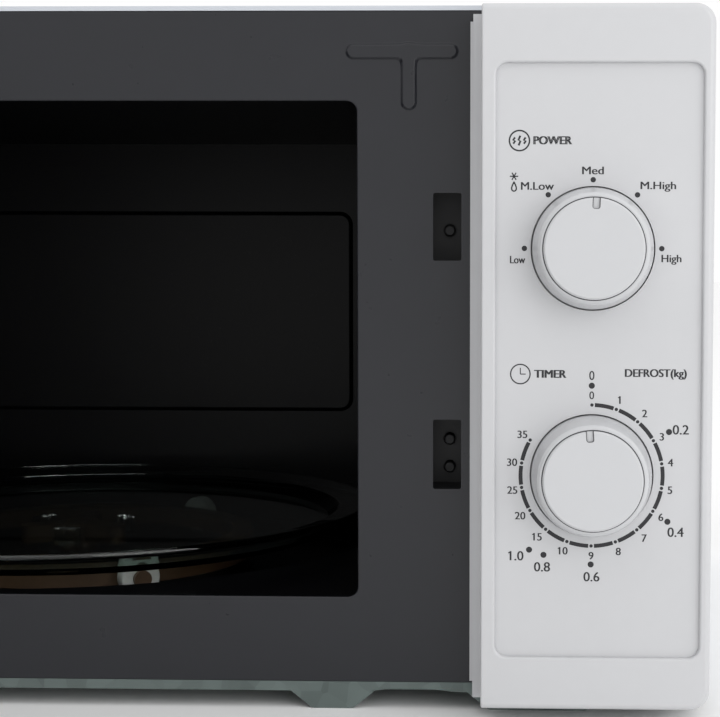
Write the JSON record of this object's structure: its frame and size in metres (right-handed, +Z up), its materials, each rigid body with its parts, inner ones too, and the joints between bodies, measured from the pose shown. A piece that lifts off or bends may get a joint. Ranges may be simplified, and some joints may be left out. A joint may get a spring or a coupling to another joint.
{
  "type": "microwave oven",
  "caption": "Countertop microwave oven with an open side-hung door, a lit cavity with a glass turntable on rollers, and a panel with power and timer knobs.",
  "frame": {"origin": "centre of the cabinet's footprint, on the surface the oven stands on", "axes": "+X to the right seen from the front, +Y from the front to the back, +Z up"},
  "size_m": [0.4769, 0.6829, 0.258],
  "materials": {
    "front_enamel": "satin",
    "cavity_enamel": "satin",
    "cabinet_paint": "gloss",
    "galvanised_steel": "satin",
    "bright_steel": "satin",
    "panel_plastic": "gloss",
    "knob_plastic": "satin",
    "turntable_glass": "gloss",
    "window_glass": "gloss",
    "film": "gloss",
    "white_plastic": "matte",
    "brown_plastic": "matte",
    "black_plastic": "matte",
    "door_plastic": "gloss",
    "copper_winding": "satin",
    "core_iron": "matte",
    "aluminium": "satin",
    "mica": "satin",
    "lamp_glass": "gloss",
    "board": "matte",
    "ceramic": "matte"
  },
  "bodies": {
    "cabinet": {"front_plate": "front_enamel", "cavity_wrap": "cavity_enamel", "cavity_back": "cavity_enamel", "cavity_floor": "cavity_enamel", "base_plate": "galvanised_steel", "outer_cabinet": "cabinet_paint", "rear_plate": "galvanised_steel", "cabinet_screws": "bright_steel", "cord_gland": "black_plastic", "control_panel": "panel_plastic", "timer_unit": "black_plastic", "power_selector": "black_plastic", "turntable_motor": "bright_steel", "motor_cover": "galvanised_steel", "latch_board": "black_plastic", "primary_switch": "black_plastic", "secondary_switch": "black_plastic", "monitor_switch": "black_plastic", "waveguide": "galvanised_steel", "waveguide_cover": "mica", "magnetron_body": "aluminium", "magnetron_antenna": "bright_steel", "transformer_core": "core_iron", "transformer_windings": "copper_winding", "capacitor": "aluminium", "capacitor_clamp": "galvanised_steel", "high_voltage_diode": "black_plastic", "fan_shroud": "black_plastic", "fan_motor": "core_iron", "air_duct": "black_plastic", "lamp": "lamp_glass", "lamp_holder": "ceramic", "filter_board": "board", "fuse": "lamp_glass", "thermal_cutouts": "black_plastic", "upper_hinge": "bright_steel", "lower_hinge": "bright_steel"},
    "door": {"door_shell": "door_plastic", "door_window": "window_glass", "door_handle": "door_plastic", "door_frame": "cavity_enamel", "choke_cover": "black_plastic", "door_inner_film": "film", "latch_spring": "bright_steel"},
    "latch": {"latch_hooks": "white_plastic"},
    "power_control": {"power_knob": "knob_plastic", "power_spindle": "white_plastic"},
    "timer_control": {"timer_knob": "knob_plastic", "timer_spindle": "white_plastic"},
    "turntable": {"turntable_glass": "turntable_glass", "turntable_coupler": "brown_plastic", "motor_shaft": "bright_steel"},
    "roller_carrier": {"roller_ring": "brown_plastic"},
    "wheel_1": {"roller_wheel_1": "white_plastic"},
    "wheel_2": {"roller_wheel_2": "white_plastic"},
    "wheel_3": {"roller_wheel_3": "white_plastic"},
    "fan": {"fan_blade": "black_plastic"},
    "primary_button": {"primary_plunger": "black_plastic"},
    "secondary_button": {"secondary_plunger": "black_plastic"},
    "monitor_button": {"monitor_plunger": "black_plastic"}
  },
  "joints": [
    {"name": "door_hinge", "type": "hinge", "parent": "cabinet", "child": "door", "pos_m": [-0.211, -0.172, 0.13], "axis": [0, 0, 1], "range_deg": [-12, 90]},
    {"name": "latch_slide", "type": "slide", "parent": "door", "child": "latch", "axis": [0, 0, 1], "range_m": [0, 0.003], "stiffness_N_per_m": 400, "springref_m": -0.004, "deforming": ["latch_spring"]},
    {"name": "power_turn", "type": "hinge", "parent": "cabinet", "child": "power_control", "pos_m": [0.1787, -0.185, 0.1707], "axis": [0, 1, 0], "range_deg": [-90, 90]},
    {"name": "timer_turn", "type": "hinge", "parent": "cabinet", "child": "timer_control", "pos_m": [0.1787, -0.185, 0.0908], "axis": [0, 1, 0], "range_deg": [0, 300]},
    {"name": "turntable_spin", "type": "hinge", "parent": "cabinet", "child": "turntable", "pos_m": [-0.049, -0.0105, 0.043], "axis": [0, 0, 1], "continuous": true},
    {"name": "roller_carrier_spin", "type": "hinge", "parent": "cabinet", "child": "roller_carrier", "pos_m": [-0.049, -0.0105, 0.0335], "axis": [0, 0, 1], "continuous": true},
    {"name": "wheel_1_roll", "type": "hinge", "parent": "roller_carrier", "child": "wheel_1", "pos_m": [-0.00522, -0.08336, 0.0335], "axis": [0.515, -0.8572, 0], "continuous": true},
    {"name": "wheel_2_roll", "type": "hinge", "parent": "roller_carrier", "child": "wheel_2", "pos_m": [-0.00779, 0.06384, 0.0335], "axis": [0.4848, 0.8746, 0], "continuous": true},
    {"name": "wheel_3_roll", "type": "hinge", "parent": "roller_carrier", "child": "wheel_3", "pos_m": [-0.13399, -0.01198, 0.0335], "axis": [-0.9998, -0.0175, 0], "continuous": true},
    {"name": "fan_spin", "type": "hinge", "parent": "cabinet", "child": "fan", "pos_m": [0.164, 0.11, 0.164], "axis": [0, 1, 0], "continuous": true},
    {"name": "primary_press", "type": "slide", "parent": "cabinet", "child": "primary_button", "axis": [0, 1, 0], "range_m": [0, 0.0015], "stiffness_N_per_m": 600, "springref_m": -0.001},
    {"name": "secondary_press", "type": "slide", "parent": "cabinet", "child": "secondary_button", "axis": [0, 1, 0], "range_m": [0, 0.0015], "stiffness_N_per_m": 600, "springref_m": -0.001},
    {"name": "monitor_press", "type": "slide", "parent": "cabinet", "child": "monitor_button", "axis": [0, 1, 0], "range_m": [0, 0.0015], "stiffness_N_per_m": 600, "springref_m": -0.001}
  ],
  "couplings": [
    {"joint": "roller_carrier_spin", "follows": "turntable_spin", "ratio": 0.5},
    {"joint": "wheel_1_roll", "follows": "turntable_spin", "ratio": -5.1205},
    {"joint": "wheel_2_roll", "follows": "turntable_spin", "ratio": -5.1205},
    {"joint": "wheel_3_roll", "follows": "turntable_spin", "ratio": -5.1205}
  ]
}
